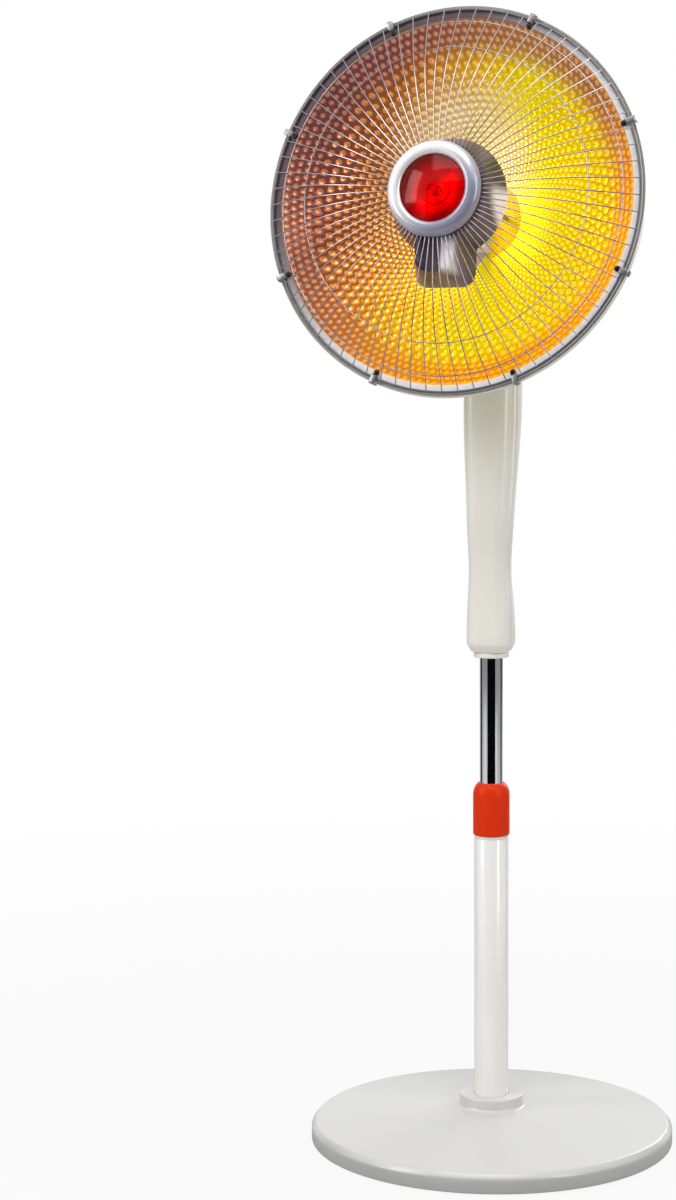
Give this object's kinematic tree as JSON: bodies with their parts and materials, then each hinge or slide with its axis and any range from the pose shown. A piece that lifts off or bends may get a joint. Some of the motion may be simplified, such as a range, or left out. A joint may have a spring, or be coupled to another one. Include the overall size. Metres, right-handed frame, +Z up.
{
  "type": "pedestal dish heater",
  "caption": "Pedestal dish heater: a wire-guarded, dimpled reflector dish with a carbon element, tilting and swivelling on a telescopic stem over a weighted round base.",
  "frame": {"origin": "on the floor at the centre of the round base, on the stem's axis", "axes": "+Z up, the dish faces -Y at rest, +X to the right seen from the front"},
  "size_m": [0.38, 0.3777, 1.1457],
  "materials": {
    "painted_cream": "satin paint",
    "neck_cream": "moulded, satin",
    "tube_white": "white gloss paint",
    "chrome": "polished",
    "collar_orange": "orange-red, glossy",
    "zinc_steel": "zinc plated",
    "black_screw": "black",
    "cast_weight": "raw",
    "foot_rubber": "matt",
    "black_plastic": "moulded",
    "white_nylon": "moulded",
    "reflector_gold": "bright, dimpled",
    "ceramic": "glazed white ceramic",
    "quartz": "clear quartz",
    "carbon": "carbon fibre, dark",
    "lens_red": "deep red",
    "bezel_white": "glossy",
    "rim_grey": "dark grey"
  },
  "bodies": {
    "stand": {"base_cover": "painted_cream", "base_plate": "zinc_steel", "base_weight": "cast_weight", "base_feet": "foot_rubber", "base_plate_screws": "zinc_steel", "bolt_washer": "zinc_steel", "tube_bolt": "zinc_steel", "lower_tube": "tube_white", "guide_bush": "white_nylon"},
    "collar": {"lock_collar": "collar_orange"},
    "mast": {"inner_tube": "chrome", "tube_shoe": "white_nylon", "neck_front": "neck_cream", "neck_rear": "neck_cream", "neck_screws": "zinc_steel", "swivel_bearing": "white_nylon", "power_switch": "black_plastic", "tip_switch": "black_plastic", "terminal_block": "white_nylon", "cord_gland": "black_plastic"},
    "knob": {"power_knob": "black_plastic"},
    "yoke": {"yoke": "zinc_steel", "swivel_clip": "zinc_steel", "tilt_bolt": "zinc_steel", "tilt_nut": "zinc_steel", "friction_washers": "white_nylon"},
    "head": {"rear_shell": "painted_cream", "tilt_lug": "zinc_steel", "lug_screws": "zinc_steel", "reflector": "reflector_gold", "element_bracket": "zinc_steel", "bracket_screws": "zinc_steel", "element_holders": "ceramic", "quartz_tube": "quartz", "carbon_filament": "carbon", "element_leads": "white_nylon", "element_terminal": "ceramic", "thermal_cutout": "black_plastic", "front_shield": "chrome", "shield_posts": "zinc_steel", "shield_screws": "zinc_steel", "hub_plate": "zinc_steel", "hub_bezel": "bezel_white", "hub_lens": "lens_red", "hub_screws": "zinc_steel", "grille_wires": "chrome", "grille_rim_ring": "rim_grey", "grille_front_ring": "chrome", "grille_middle_ring": "chrome", "grille_clips": "zinc_steel", "clip_screws": "black_screw"}
  },
  "joints": [
    {"name": "collar_twist", "type": "hinge", "parent": "stand", "child": "collar", "pos_m": [0, 0, 0.347], "axis": [0, 0, 1], "range_deg": [0, 90]},
    {"name": "height_slide", "type": "slide", "parent": "stand", "child": "mast", "axis": [0, 0, 1], "range_m": [-0.128, 0.085]},
    {"name": "knob_turn", "type": "hinge", "parent": "mast", "child": "knob", "pos_m": [0, 0.0286, 0.7], "axis": [0, 1, 0], "range_deg": [0, 270]},
    {"name": "head_swing", "type": "hinge", "parent": "mast", "child": "yoke", "pos_m": [0, 0.008, 0.862], "axis": [0, 0, 1], "range_deg": [-40, 40]},
    {"name": "head_tilt", "type": "hinge", "parent": "yoke", "child": "head", "pos_m": [0, 0.008, 0.893], "axis": [-1, 0, 0], "range_deg": [-15, 21]}
  ]
}
